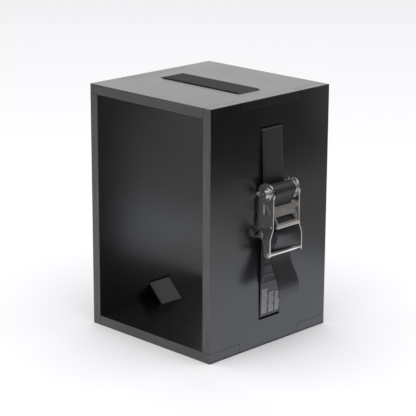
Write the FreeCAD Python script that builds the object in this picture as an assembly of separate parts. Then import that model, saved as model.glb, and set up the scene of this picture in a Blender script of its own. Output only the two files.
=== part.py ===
"""Knock-down apple box: four finger-jointed boards held by one webbing strap and a ratchet buckle.

Millimetres. Origin at the centre of the standing face, X to the right, -Y to the open front, Z up.
The ratchet sits on the right-hand board; its mandrel runs along Y.
"""
import FreeCAD, Part
import math
import os

# ---- box ----
BOX_WIDTH = 300.0            # outside, along X
BOX_DEPTH = 300.0            # outside, along Y
BOX_HEIGHT = 450.0           # outside, along Z
BOARD_T = 18.0
MIDDLE_TAB = 150.0           # length of the middle finger along Y
FINGER_CLEARANCE = 0.1       # taken off each side of a finger
EDGE_R = 0.8                 # eased outer edges

# ---- webbing ----
STRAP_WIDTH = 51.0
STRAP_T = 2.0
STRAP_GAP = 0.1              # webbing to the board it lies on
LAY_OFF = STRAP_GAP + STRAP_T / 2
BEND_STEP = 10.0             # degrees between the points of a bend

# ---- strap slots ----
SLOT_INSET = 50.0            # box face to the nearer edge of the slot
SLOT_GAP = 5.5
SLOT_SIDE_ROOM = 1.5         # slot beyond each edge of the strap
SLOT_WIDTH = STRAP_WIDTH + 2 * SLOT_SIDE_ROOM
LIP_R = 2.0                  # rounded lips the strap bears on
RECESS_DEPTH = 2.5           # groove under the box that hides the strap

# ---- sheet metal across the ratchet, from the strap's edge outwards ----
CHEEK_T = 2.0
WHEEL_T = 2.2
WASHER_T = 1.5
STRAP_SIDE_ROOM = 1.5        # strap's edge to the frame cheek
SIDE_GAP = 0.4               # between neighbouring sheets
FRAME_Y = (STRAP_WIDTH / 2 + STRAP_SIDE_ROOM, STRAP_WIDTH / 2 + STRAP_SIDE_ROOM + CHEEK_T)
WHEEL_Y = (FRAME_Y[1] + SIDE_GAP, FRAME_Y[1] + SIDE_GAP + WHEEL_T)
HANDLE_Y = (WHEEL_Y[1] + SIDE_GAP, WHEEL_Y[1] + SIDE_GAP + CHEEK_T)
WASHER_Y = (HANDLE_Y[1] + SIDE_GAP, HANDLE_Y[1] + SIDE_GAP + WASHER_T)
COTTER_Y = WASHER_Y[1] + 2.7
MANDREL_HALF_LENGTH = COTTER_Y + 3.4

# ---- mandrel and wheels ----
MANDREL_STANDOFF = 20.0      # right-hand board to the mandrel axis
MANDREL_Z = 287.0
MANDREL_R = 8.0
MANDREL_SLOT = 3.0           # gap between the two half shafts
MANDREL_SLOT_ANGLE = 95.0    # how far the slot is turned from the X axis
ROLL_R = 12.0
ROLL_CLEARANCE = 0.15
TEETH = 12
TIP_R = 18.2
ROOT_R = 14.2
ROOT_LAND = 12.0             # degrees of flat root between two teeth
TIP_LAND = 2.5               # degrees of flat on a tooth tip
RUNNING_GAP = 0.3            # between parts that move past each other
BORE_CLEARANCE = 0.08        # radial, mandrel in its bores
RIGHT_FACE = BOX_WIDTH / 2
AXIS = (RIGHT_FACE + MANDREL_STANDOFF, MANDREL_Z)

# ---- frame (fixed half of the ratchet) ----
FRAME_STANDOFF = 0.3         # board to the back of the frame
FRAME_WEB_T = 2.0
FRAME_WEB_DROP = (25.0, 65.0)    # top and bottom of the back web, below the mandrel axis
FRAME_HEAD_R = 14.0
FRAME_EDGE_IN = 0.7          # outer edge of the cheek, inside the mandrel axis
FRAME_BOSS_R = 9.0
PAWL_T = 2.4
FRAME_PAWL_ANGLE = -105.0    # direction of the frame pawl seen from the mandrel axis
FRAME_PAWL_TIP_R = 15.0
FRAME_PAWL_BODY_R = (20.0, 40.0)
FRAME_PAWL_EAR_END_R = 32.0
FRAME_PAWL_TRAVEL = 6.0
FRAME_PAWL_TONGUE = 6.0
FRAME_STOP_R = (54.0, 56.0)
FRAME_STOP_HALF_WIDTH = 10.0
FRAME_STOP_REACH = 6.0       # tab beyond the spring's centre line
PAWL_EAR_SLACK = 0.35        # between a pawl ear and its slot
PAWL_SIDE_GAP = 0.4          # between a pawl and the cheek beside it
FRAME_X = RIGHT_FACE + FRAME_STANDOFF

# ---- bolt at the foot of the frame ----
BOLT_IN = 9.6                # bolt nearer the board than the mandrel axis
BOLT_DROP = 76.2             # mandrel axis to bolt, downwards
BOLT_R = 4.0
HEX_ACROSS_FLATS = 13.0
BOLT_HEAD_H = 5.3
NUT_H = 5.8
BOLT_TIP = 1.4               # thread showing beyond the nut
SLEEVE_R = 5.5
SLEEVE_BORE_R = 4.2
LOOP_FLAP = 92.0             # sewn-back end of the strap, measured down from the bolt
BOLT = (AXIS[0] - BOLT_IN, AXIS[1] - BOLT_DROP)

# ---- handle ----
HANDLE_HEAD_R = 18.8
HANDLE_STANDOFF = 2.6        # nearest the head comes to the board
HANDLE_INNER = 12.5          # inner edge of the cheek, inside the mandrel axis
HANDLE_OUTER = 17.5          # outer edge, outside the axis
HANDLE_TOP = 7.0             # top of the straight outer edge, above the axis
HANDLE_NOTCH_R = 9.8         # inner edge turns in round the bolt at this distance
HANDLE_NOTCH_DEGREES = (72.0, 27.0, -15.0)    # where it does so, seen from the bolt
HANDLE_SPLAY = 7.7           # how far each cheek steps outwards at the grip
SPLAY_DROP = (60.0, 79.0)    # where the step begins and ends, below the axis
GRIP_OUT = 10.9
GRIP_DROP = 107.0
GRIP_R = 3.8
GRIP_PIN_R = 2.5
GRIP_END_R = 6.6             # rounded lower end of a cheek
RIVET_R = 4.2
RIVET_H = 1.4
GRIP = (AXIS[0] + GRIP_OUT, AXIS[1] - GRIP_DROP)

# ---- drive pawl (rides in the handle) ----
DRIVE_TOP_OUT = 4.7          # top edge of the plate from the mandrel axis
DRIVE_TOP_DROP = 26.0
DRIVE_TILT = 28.0            # slide direction, degrees from straight down towards the outside
DRIVE_LENGTH = 35.8
DRIVE_HALF_WIDTH = FRAME_Y[0] - 0.5
DRIVE_TRAVEL = 5.0
DRIVE_WINDOW = (18.0, 29.5)  # along the plate from its top edge
DRIVE_WINDOW_RIM = 3.2       # plate left at each side of the window
DRIVE_LIP_R = 2.5
DRIVE_LIP_HALF_WIDTH = DRIVE_HALF_WIDTH + 2.0
EAR_REACH_Y = HANDLE_Y[1] + 0.8
EAR_ALONG = (-7.8, 9.5)
STUD_ALONG = 8.0
STUD_R = 2.6
STUD_H = 1.3
SPRING_LUG = (22.0, 24.0)    # along the plate, fixed to the cheek
SPRING_Y = (DRIVE_HALF_WIDTH + HANDLE_Y[0]) / 2 + 0.1
DRIVE_DEGREES = DRIVE_TILT - 90
DRIVE_TOP = (AXIS[0] + DRIVE_TOP_OUT, AXIS[1] - DRIVE_TOP_DROP)

# ---- small hardware ----
WASHER_R = 12.0
COTTER_R = 1.4
COTTER_REACH = 11.5
COTTER_EYE_R = 2.6
SPRING_WIRE_R = 0.45
SPRING_COIL_R = 1.7
SPRING_END_GAP = 0.2
SPRING_TURNS = 6
FRAME_SPRING_COIL_R = 2.6

# ---- free end of the strap, from the mandrel axis (outwards, upwards) ----
TAIL_POINTS = [
    (-7.8, 11.1), (-1.2, 13.6), (5.6, 12.4), (10.8, 8.4), (13.4, 2.6), (13.2, -3.8), (11.2, -10.0),
    (8.2, -15.8), (4.9, -21.2), (1.9, -26.6), (1.2, -31.5), (3.2, -37.5), (8.5, -46.8), (14.5, -56.0),
    (18.8, -64.5), (20.6, -72.5), (20.2, -81.0), (16.8, -90.0), (10.4, -98.5), (4.8, -106.0),
    (4.0, -115.0), (7.0, -127.5), (12.6, -139.5), (19.3, -151.5), (24.2, -163.5), (26.0, -174.5),
    (25.7, -181.5), (25.2, -187.5),
]
TAIL_STEPS = 80


# ---------------------------------------------------------------- plain shapes
def vec(x, y, z):
    return FreeCAD.Vector(x, y, z)


def slab(outline, y0, y1):
    """A flat plate: an XZ outline carried along Y."""
    points = [vec(x, y0, z) for x, z in outline]
    face = Part.Face(Part.makePolygon(points + points[:1]))
    return face.extrude(vec(0, y1 - y0, 0))


def disc(centre, radius, y0, y1):
    return Part.makeCylinder(radius, y1 - y0, vec(centre[0], y0, centre[1]), vec(0, 1, 0))


def block(x0, x1, y0, y1, z0, z1):
    return Part.makeBox(x1 - x0, y1 - y0, z1 - z0, vec(x0, y0, z0))


def hexagon(centre, across_flats, y0, y1):
    corner_r = across_flats / math.sqrt(3)
    return slab([polar(corner_r, 60 * k + 30, centre) for k in range(6)], y0, y1)


def polar(radius, degrees, centre=AXIS):
    angle = math.radians(degrees)
    return (centre[0] + radius * math.cos(angle), centre[1] + radius * math.sin(angle))


def aligned_block(start, degrees, along, across, y0, y1):
    """A plate whose length runs from `start` in the direction `degrees` in the XZ plane."""
    corners = [(along[0], across[0]), (along[1], across[0]), (along[1], across[1]), (along[0], across[1])]
    outline = []
    for distance, offset in corners:
        foot = polar(distance, degrees, start)
        outline.append(polar(offset, degrees + 90, foot))
    return slab(outline, y0, y1)


def fuse(shapes):
    joined = shapes[0]
    for shape in shapes[1:]:
        joined = joined.fuse(shape)
    return joined.removeSplitter()


def both_sides(shape):
    """The shape and its mirror image across the plane Y = 0."""
    return [shape, shape.mirror(vec(0, 0, 0), vec(0, 1, 0))]


def front_of(shape):
    return shape.mirror(vec(0, 0, 0), vec(0, 1, 0))


# ---------------------------------------------------------------- webbing
def taut_path(circles):
    """Centre line of a taut strap round circles (x, z, signed radius; + has the centre on its left)."""
    headings = []
    for (x1, z1, r1), (x2, z2, r2) in zip(circles, circles[1:]):
        direct = math.atan2(z2 - z1, x2 - x1)
        headings.append(direct - math.asin((r2 - r1) / math.hypot(x2 - x1, z2 - z1)))
    path = []
    for index, (x, z, radius) in enumerate(circles):
        arrive = headings[max(index - 1, 0)]
        leave = headings[min(index, len(headings) - 1)]
        turn = (leave - arrive + math.pi) % (2 * math.pi) - math.pi
        if radius * turn < 0:
            turn += math.copysign(2 * math.pi, radius)
        steps = max(1, round(abs(math.degrees(turn)) / BEND_STEP)) if radius and abs(turn) > 1e-6 else 0
        for step in range(steps + 1):
            heading = arrive + turn * step / max(steps, 1)
            path.append((x + radius * math.sin(heading), z - radius * math.cos(heading)))
    return path


def smooth_path(points, count):
    curve = Part.BSplineCurve()
    curve.interpolate([vec(x, 0, z) for x, z in points])
    return [(point.x, point.z) for point in curve.discretize(count)]


def ribbon_outline(path, thickness):
    left = []
    right = []
    for index, (x, z) in enumerate(path):
        before = path[max(index - 1, 0)]
        after = path[min(index + 1, len(path) - 1)]
        heading = math.atan2(after[1] - before[1], after[0] - before[0])
        off_x = -math.sin(heading) * thickness / 2
        off_z = math.cos(heading) * thickness / 2
        left.append((x + off_x, z + off_z))
        right.append((x - off_x, z - off_z))
    return left + right[::-1]


def ribbon(path, width=STRAP_WIDTH, thickness=STRAP_T):
    return slab(ribbon_outline(path, thickness), -width / 2, width / 2)


# ---------------------------------------------------------------- boards
def round_edges(shape, radius, wanted):
    return shape.makeFillet(radius, [edge for edge in shape.Edges if wanted(edge)])


def edge_middle(edge):
    ends = [vertex.Point for vertex in edge.Vertexes]
    return (ends[0] + ends[-1]) * 0.5


def runs_along_y(edge):
    ends = [vertex.Point for vertex in edge.Vertexes]
    return abs(ends[0].x - ends[-1].x) < 1e-6 and abs(ends[0].z - ends[-1].z) < 1e-6


def board(length, recess=0.0):
    """One board lying flat, outer face at Z = 0: middle finger at +X, two side fingers at -X."""
    half = length / 2
    shoulder = half - BOARD_T
    side = BOX_DEPTH / 2
    tab = MIDDLE_TAB / 2 - FINGER_CLEARANCE
    notch = MIDDLE_TAB / 2 + FINGER_CLEARANCE
    shape = block(-shoulder, shoulder, -side, side, -BOARD_T, 0)
    fingers = [block(shoulder, half, -tab, tab, -BOARD_T, 0)]
    fingers += both_sides(block(-half, -shoulder, notch, side, -BOARD_T, 0))
    shape = fuse([shape] + fingers)

    def is_outer_edge(edge):
        middle = edge_middle(edge)
        on_front_or_back = abs(abs(middle.y) - side) < 1e-6 and abs(middle.x - shoulder) > 1e-6
        at_corner = runs_along_y(edge) and abs(abs(middle.x) - half) < 1e-6 and abs(middle.z) < 1e-6
        return on_front_or_back or at_corner

    shape = round_edges(shape, EDGE_R, is_outer_edge)
    near = half - SLOT_INSET - SLOT_GAP
    far = half - SLOT_INSET
    if recess:
        shape = shape.cut(block(-far, far, -SLOT_WIDTH / 2, SLOT_WIDTH / 2, -recess, 1))
    for x0, x1 in ((near, far), (-far, -near)):
        shape = shape.cut(block(x0, x1, -SLOT_WIDTH / 2, SLOT_WIDTH / 2, -BOARD_T - 1, 1))

    def is_lip(edge):
        middle = edge_middle(edge)
        outer = abs(abs(middle.x) - near) < 1e-6 and abs(middle.z + recess) < 1e-6
        inner = abs(abs(middle.x) - far) < 1e-6 and abs(middle.z + BOARD_T) < 1e-6
        return runs_along_y(edge) and (outer or inner)

    return round_edges(shape, LIP_R, is_lip)


def placed_board(length, quarter_turns, outer_face_centre, recess=0.0):
    shape = board(length, recess)
    shape.rotate(vec(0, 0, 0), vec(0, 1, 0), 90 * quarter_turns)
    shape.translate(vec(*outer_face_centre))
    return shape


# ---------------------------------------------------------------- strap
def strap_corner(side, top):
    """The strap passing from one outer face to the next across an inside corner of the box."""
    drop = 0.0 if top else RECESS_DEPTH
    up = 1 if top else -1
    face = BOX_HEIGHT if top else 0.0
    half = BOX_WIDTH / 2
    near = SLOT_INSET + SLOT_GAP + LIP_R
    far = SLOT_INSET - LIP_R
    inner = BOARD_T - LIP_R
    bend = LIP_R + LAY_OFF
    stations = [
        (half - near - LIP_R, drop - LAY_OFF, 0),
        (half - near, drop + LIP_R, -bend),
        (half - far, inner, bend),
        (half - inner, far, bend),
        (half - LIP_R, near, -bend),
        (half + LAY_OFF, near + LIP_R, 0),
    ]
    return taut_path([(side * a, face - up * d, side * up * r) for a, d, r in stations])


def lower_run():
    """Right-hand strap from its lower slot up to the point where the sewn loop begins."""
    start = (RIGHT_FACE + LAY_OFF, SLOT_INSET + SLOT_GAP + 2 * LIP_R)
    touch = taut_path([(*start, 0), (*BOLT, -(SLEEVE_R + LAY_OFF))])[1]
    share = 0.85
    hitch = (start[0] + (touch[0] - start[0]) * share, start[1] + (touch[1] - start[1]) * share)
    return start, hitch


def loop_path():
    """Sewn loop round the bolt sleeve, ending in the flap stitched back on to the strap."""
    start, hitch = lower_run()
    slope = (hitch[0] - start[0]) / (hitch[1] - start[1])
    flap = []
    for z in (hitch[1] - 10, BOLT[1] - LOOP_FLAP):
        flap.append((start[0] + (z - start[1]) * slope + STRAP_T + STRAP_GAP, z, 0))
    return taut_path([(*hitch, 0), (*BOLT, -(SLEEVE_R + LAY_OFF))] + flap)


def make_strap():
    top_z = BOX_HEIGHT + LAY_OFF
    bottom_z = RECESS_DEPTH - LAY_OFF
    side_x = RIGHT_FACE + LAY_OFF
    end_x = RIGHT_FACE - SLOT_INSET - SLOT_GAP - 2 * LIP_R
    low = SLOT_INSET + SLOT_GAP + 2 * LIP_R
    high = BOX_HEIGHT - low
    start, hitch = lower_run()
    upper_run = taut_path([(side_x, high, 0), (*AXIS, ROLL_R + RUNNING_GAP + STRAP_T / 2)])
    paths = [
        [(-end_x, top_z), (end_x, top_z)],
        [(-side_x, low), (-side_x, high)],
        [(-end_x, bottom_z), (end_x, bottom_z)],
        upper_run,
        [start, hitch],
        loop_path(),
    ]
    paths += [strap_corner(side, top) for side in (1, -1) for top in (True, False)]
    return Part.makeCompound([ribbon(path) for path in paths])


def make_tail():
    """Free end of the strap: over the roll, behind the drive pawl, behind the grip and out."""
    points = [(AXIS[0] + out, AXIS[1] + up) for out, up in TAIL_POINTS]
    return ribbon(smooth_path(points, TAIL_STEPS))


def make_roll():
    half = STRAP_WIDTH / 2
    ring = disc(AXIS, ROLL_R, -half, half).cut(disc(AXIS, MANDREL_R + ROLL_CLEARANCE, -half, half))
    reach = MANDREL_R + 1
    across = (-STRAP_T / 2, STRAP_T / 2)
    through = aligned_block(AXIS, MANDREL_SLOT_ANGLE, (-reach, reach), across, -half, half)
    return fuse([ring, through])


# ---------------------------------------------------------------- mandrel
def mandrel_half(side):
    half = MANDREL_HALF_LENGTH
    across = (MANDREL_SLOT / 2, MANDREL_R + 1)
    if side < 0:
        across = (-across[1], -across[0])
    keep = aligned_block(AXIS, MANDREL_SLOT_ANGLE, (-MANDREL_R - 1, MANDREL_R + 1), across, -half, half)
    return disc(AXIS, MANDREL_R, -half, half).common(keep)


def cotter_bore(y):
    direction = MANDREL_SLOT_ANGLE + 90
    foot = polar(-COTTER_REACH, direction)
    tip = polar(COTTER_REACH, direction)
    run = vec(tip[0] - foot[0], 0, tip[1] - foot[1])
    return Part.makeCylinder(COTTER_R, run.Length, vec(foot[0], y, foot[1]), run)


def make_cotter(y):
    """Split pin with its eye at one end and a flattened end at the other."""
    direction = MANDREL_SLOT_ANGLE + 90
    eye_centre = polar(COTTER_REACH + COTTER_EYE_R, direction)
    eye = Part.makeTorus(COTTER_EYE_R, COTTER_R * 0.6, vec(eye_centre[0], y, eye_centre[1]), vec(0, 1, 0))
    return fuse([cotter_bore(y), eye])


def mandrel_halves():
    upper = mandrel_half(1)
    lower = mandrel_half(-1)
    for y in (-COTTER_Y, COTTER_Y):
        upper = upper.cut(cotter_bore(y))
        lower = lower.cut(cotter_bore(y))
    return upper, lower


def make_wheel():
    """Ratchet wheel with square-faced teeth, bored to match the two half shafts."""
    outline = []
    for tooth in range(TEETH):
        gap = FRAME_PAWL_ANGLE + tooth * 360 / TEETH
        outline.append(polar(ROOT_R, gap - ROOT_LAND / 2))
        outline.append(polar(ROOT_R, gap + ROOT_LAND / 2))
        outline.append(polar(TIP_R, gap + ROOT_LAND / 2))
        outline.append(polar(TIP_R, gap + ROOT_LAND / 2 + TIP_LAND))
    wheel = slab(outline, *WHEEL_Y)
    for half in (mandrel_half(1), mandrel_half(-1)):
        wheel = wheel.cut(half)
    return wheel


def make_mandrel_washer():
    return disc(AXIS, WASHER_R, *WASHER_Y).cut(disc(AXIS, MANDREL_R, *WASHER_Y))


# ---------------------------------------------------------------- frame
def frame_pawl_slot(y0, y1):
    slack = PAWL_EAR_SLACK
    along = (FRAME_PAWL_TIP_R - 2 * slack, FRAME_PAWL_EAR_END_R + FRAME_PAWL_TRAVEL + slack)
    across = (-PAWL_T / 2 - slack, PAWL_T / 2 + slack)
    return aligned_block(AXIS, FRAME_PAWL_ANGLE, along, across, y0, y1)


def make_frame():
    """Pressed channel: two cheeks, a back web and a turned-up tab that carries the pawl spring."""
    edge_x = AXIS[0] - FRAME_EDGE_IN
    web_z = (AXIS[1] - FRAME_WEB_DROP[1], AXIS[1] - FRAME_WEB_DROP[0])
    outline = [
        (AXIS[0] - FRAME_HEAD_R, AXIS[1]), (FRAME_X, web_z[1] + 8), (FRAME_X, BOLT[1] - 6),
        (FRAME_X + 6, BOLT[1] - FRAME_BOSS_R), (BOLT[0], BOLT[1] - FRAME_BOSS_R), (edge_x, BOLT[1]),
        (edge_x, AXIS[1] - FRAME_HEAD_R), AXIS,
    ]
    head = disc(AXIS, FRAME_HEAD_R, *FRAME_Y)
    boss = disc(BOLT, FRAME_BOSS_R, *FRAME_Y)
    cheek = fuse([slab(outline, *FRAME_Y), head, boss])
    cheek = cheek.cut(disc(AXIS, MANDREL_R + BORE_CLEARANCE, *FRAME_Y))
    cheek = cheek.cut(disc(BOLT, BOLT_R, *FRAME_Y)).cut(frame_pawl_slot(*FRAME_Y))
    web = block(FRAME_X, FRAME_X + FRAME_WEB_T, -FRAME_Y[1], FRAME_Y[1], *web_z)
    stop = polar(sum(FRAME_STOP_R) / 2, FRAME_PAWL_ANGLE)
    back = (FRAME_X + FRAME_WEB_T / 2 - stop[0]) / math.cos(math.radians(FRAME_PAWL_ANGLE + 90))
    width = FRAME_STOP_HALF_WIDTH
    tab = aligned_block(AXIS, FRAME_PAWL_ANGLE, FRAME_STOP_R, (back, FRAME_STOP_REACH), -width, width)
    return fuse(both_sides(cheek) + [web, tab])


def make_frame_pawl():
    across = (-PAWL_T / 2, PAWL_T / 2)
    inside = FRAME_Y[0] - PAWL_SIDE_GAP
    root = FRAME_PAWL_BODY_R[1]
    ear_along = (FRAME_PAWL_TIP_R, FRAME_PAWL_EAR_END_R)
    body = aligned_block(AXIS, FRAME_PAWL_ANGLE, FRAME_PAWL_BODY_R, across, -inside, inside)
    ear = aligned_block(AXIS, FRAME_PAWL_ANGLE, ear_along, across, inside - PAWL_SIDE_GAP, WHEEL_Y[1])
    tongue = aligned_block(AXIS, FRAME_PAWL_ANGLE, (root - 1, root + FRAME_PAWL_TONGUE), across, -1.5, 1.5)
    return fuse([body, tongue] + both_sides(ear))


def coil_spring(start, degrees, y, length, coil_r, turns):
    """Compression spring running from `start` in the direction `degrees` in the XZ plane."""
    height = length - 2 * SPRING_WIRE_R
    helix = Part.makeHelix(height / turns, height, coil_r)
    section = Part.Wire([Part.makeCircle(SPRING_WIRE_R, vec(coil_r, 0, 0), vec(0, 1, 0))])
    spring = Part.Wire(helix).makePipeShell([section], True, True)
    spring.translate(vec(0, 0, SPRING_WIRE_R))
    spring.rotate(vec(0, 0, 0), vec(0, 1, 0), 90 - degrees)
    spring.translate(vec(start[0], y, start[1]))
    return spring


def frame_spring():
    first = FRAME_PAWL_BODY_R[1] + SPRING_END_GAP
    length = FRAME_STOP_R[0] - SPRING_END_GAP - first
    return coil_spring(polar(first, FRAME_PAWL_ANGLE), FRAME_PAWL_ANGLE, 0, length, FRAME_SPRING_COIL_R, SPRING_TURNS)


def make_bolt():
    head = hexagon(BOLT, HEX_ACROSS_FLATS, FRAME_Y[1], FRAME_Y[1] + BOLT_HEAD_H)
    return fuse([head, disc(BOLT, BOLT_R, -FRAME_Y[1] - NUT_H - BOLT_TIP, FRAME_Y[1])])


def make_nut():
    ends = (-FRAME_Y[1] - NUT_H, -FRAME_Y[1])
    return hexagon(BOLT, HEX_ACROSS_FLATS, *ends).cut(disc(BOLT, BOLT_R, *ends))


def make_sleeve():
    ends = (RUNNING_GAP - FRAME_Y[0], FRAME_Y[0] - RUNNING_GAP)
    return disc(BOLT, SLEEVE_R, *ends).cut(disc(BOLT, SLEEVE_BORE_R, *ends))


# ---------------------------------------------------------------- handle
def splayed_sheet():
    """The cheek's sheet metal seen along X: straight, then a step outwards towards the grip."""
    inner, outer = HANDLE_Y
    top = AXIS[1] + HANDLE_HEAD_R + 1
    foot = GRIP[1] - GRIP_END_R - 1
    step = [AXIS[1] - drop for drop in SPLAY_DROP]
    side = [(inner, top), (inner, step[0]), (inner + HANDLE_SPLAY, step[1]), (inner + HANDLE_SPLAY, foot)]
    back = [(y + outer - inner, z) for y, z in side[::-1]]
    points = [vec(RIGHT_FACE, y, z) for y, z in side + back]
    face = Part.Face(Part.makePolygon(points + points[:1]))
    return face.extrude(vec(2 * (MANDREL_STANDOFF + HANDLE_OUTER), 0, 0))


def handle_outline():
    """Edge of a cheek between its round head and its round lower end."""
    inner = AXIS[0] - HANDLE_INNER
    outer = AXIS[0] + HANDLE_OUTER
    straight_foot = AXIS[1] - SPLAY_DROP[0]
    splay_foot = AXIS[1] - SPLAY_DROP[1]
    notch = [polar(HANDLE_NOTCH_R, degrees, BOLT) for degrees in HANDLE_NOTCH_DEGREES]
    return [
        (inner, AXIS[1] - HANDLE_INNER), (inner, notch[0][1] + 1), *notch,
        (GRIP[0] - GRIP_END_R, GRIP[1]), (GRIP[0] + GRIP_END_R, GRIP[1]),
        (GRIP[0] + GRIP_END_R, splay_foot - 2), (outer, straight_foot + 1), (outer, AXIS[1] + HANDLE_TOP),
        (AXIS[0], AXIS[1] + HANDLE_TOP),
    ]


def make_handle_cheek():
    y0, y1 = HANDLE_Y[0] - 1, HANDLE_Y[1] + HANDLE_SPLAY + 1
    reach = HANDLE_HEAD_R + 1
    clear_x = RIGHT_FACE + HANDLE_STANDOFF
    head = disc(AXIS, HANDLE_HEAD_R, y0, y1)
    head = head.common(block(clear_x, AXIS[0] + reach, y0, y1, AXIS[1] - reach, AXIS[1] + reach))
    flat = fuse([slab(handle_outline(), y0, y1), head, disc(GRIP, GRIP_END_R, y0, y1)])
    cheek = flat.common(splayed_sheet())
    cheek = cheek.cut(disc(AXIS, MANDREL_R + BORE_CLEARANCE, y0, y1)).cut(disc(GRIP, GRIP_PIN_R, y0, y1))
    slack = PAWL_EAR_SLACK
    along = (EAR_ALONG[0] - slack, EAR_ALONG[1] + DRIVE_TRAVEL + slack)
    across = (-PAWL_T / 2 - slack, PAWL_T / 2 + slack)
    cheek = cheek.cut(aligned_block(DRIVE_TOP, DRIVE_DEGREES, along, across, y0, y1))
    lug_half = SPRING_COIL_R + SPRING_WIRE_R
    lug_y = (SPRING_Y - lug_half, HANDLE_Y[0] + CHEEK_T / 4)
    lug = aligned_block(DRIVE_TOP, DRIVE_DEGREES, SPRING_LUG, (-lug_half, lug_half), *lug_y)
    return fuse([cheek, lug])


def make_grip():
    inner = HANDLE_Y[0] + HANDLE_SPLAY
    outer = HANDLE_Y[1] + HANDLE_SPLAY
    heads = both_sides(disc(GRIP, RIVET_R, outer, outer + RIVET_H))
    return fuse([disc(GRIP, GRIP_R, -inner, inner), disc(GRIP, GRIP_PIN_R, -outer, outer)] + heads)


def make_drive_pawl():
    """Sprung plate pulled by its lip: ears reach through both cheeks to the ratchet wheels."""
    across = (-PAWL_T / 2, PAWL_T / 2)
    width = DRIVE_HALF_WIDTH
    plate = aligned_block(DRIVE_TOP, DRIVE_DEGREES, (0, DRIVE_LENGTH), across, -width, width)
    inside = width - DRIVE_WINDOW_RIM
    window = aligned_block(DRIVE_TOP, DRIVE_DEGREES, DRIVE_WINDOW, (-PAWL_T, PAWL_T), -inside, inside)
    lip_end = DRIVE_LIP_HALF_WIDTH
    lip = disc(polar(DRIVE_LENGTH, DRIVE_DEGREES, DRIVE_TOP), DRIVE_LIP_R, -lip_end, lip_end)
    ear = aligned_block(DRIVE_TOP, DRIVE_DEGREES, EAR_ALONG, across, width - 0.5, EAR_REACH_Y)
    foot = polar(STUD_ALONG, DRIVE_DEGREES, DRIVE_TOP)
    outward = polar(1.0, DRIVE_DEGREES + 90, (0.0, 0.0))
    stud_length = PAWL_T / 2 + STUD_H
    stud = Part.makeCylinder(STUD_R, stud_length, vec(foot[0], 0, foot[1]), vec(outward[0], 0, outward[1]))
    return fuse([plate.cut(window), lip, stud] + both_sides(ear))


def drive_spring():
    first = EAR_ALONG[1] + SPRING_END_GAP
    length = SPRING_LUG[0] - SPRING_END_GAP - first
    start = polar(first, DRIVE_DEGREES, DRIVE_TOP)
    return coil_spring(start, DRIVE_DEGREES, SPRING_Y, length, SPRING_COIL_R, SPRING_TURNS)


# ---------------------------------------------------------------- build
def build_nodes():
    middle = BOX_HEIGHT / 2
    mandrel_upper, mandrel_lower = mandrel_halves()
    cheek = make_handle_cheek()
    wheel = make_wheel()
    washer = make_mandrel_washer()
    spring = drive_spring()
    return {
        "panel_top": placed_board(BOX_WIDTH, 0, (0, 0, BOX_HEIGHT)),
        "panel_right": placed_board(BOX_HEIGHT, 1, (BOX_WIDTH / 2, 0, middle)),
        "panel_bottom": placed_board(BOX_WIDTH, 2, (0, 0, 0), RECESS_DEPTH),
        "panel_left": placed_board(BOX_HEIGHT, 3, (-BOX_WIDTH / 2, 0, middle)),
        "webbing_strap": make_strap(),
        "webbing_tail": make_tail(),
        "webbing_roll": make_roll(),
        "ratchet_frame": make_frame(),
        "frame_pawl": make_frame_pawl(),
        "frame_pawl_spring": frame_spring(),
        "fixed_bolt": make_bolt(),
        "fixed_nut": make_nut(),
        "bolt_sleeve": make_sleeve(),
        "mandrel_half_upper": mandrel_upper,
        "mandrel_half_lower": mandrel_lower,
        "ratchet_wheel_front": front_of(wheel),
        "ratchet_wheel_back": wheel,
        "mandrel_washer_front": front_of(washer),
        "mandrel_washer_back": washer,
        "cotter_pin_front": make_cotter(-COTTER_Y),
        "cotter_pin_back": make_cotter(COTTER_Y),
        "handle_cheek_front": front_of(cheek),
        "handle_cheek_back": cheek,
        "grip_rod": make_grip(),
        "drive_pawl": make_drive_pawl(),
        "drive_pawl_spring_front": front_of(spring),
        "drive_pawl_spring_back": spring,
    }


os.makedirs("parts", exist_ok=True)
for name, shape in build_nodes().items():
    shape.exportStep("parts/" + name + ".step")
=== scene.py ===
"""Looks for the strap-held apple box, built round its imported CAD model, in the model's own frame.

Blender's objects are in metres. Sizes in this script are in millimetres unless a comment says so.
"""

import bpy
import math
from mathutils import Matrix, Vector


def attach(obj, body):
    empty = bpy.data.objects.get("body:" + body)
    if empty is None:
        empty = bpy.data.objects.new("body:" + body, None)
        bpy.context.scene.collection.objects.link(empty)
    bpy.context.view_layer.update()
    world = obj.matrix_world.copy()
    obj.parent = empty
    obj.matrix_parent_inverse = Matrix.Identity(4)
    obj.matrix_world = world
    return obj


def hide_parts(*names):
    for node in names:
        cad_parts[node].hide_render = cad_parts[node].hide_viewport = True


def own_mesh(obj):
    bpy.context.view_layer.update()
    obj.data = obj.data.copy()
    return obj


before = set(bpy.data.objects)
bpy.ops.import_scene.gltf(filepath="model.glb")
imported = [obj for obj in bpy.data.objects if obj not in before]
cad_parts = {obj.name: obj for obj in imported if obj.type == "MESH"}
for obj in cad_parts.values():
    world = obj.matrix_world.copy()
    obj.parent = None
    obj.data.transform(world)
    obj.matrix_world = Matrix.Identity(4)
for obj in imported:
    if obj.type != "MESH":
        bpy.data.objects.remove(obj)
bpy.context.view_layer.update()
scene = bpy.context.scene
scene.view_settings.view_transform = "Standard"

MM = 0.001

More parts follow.
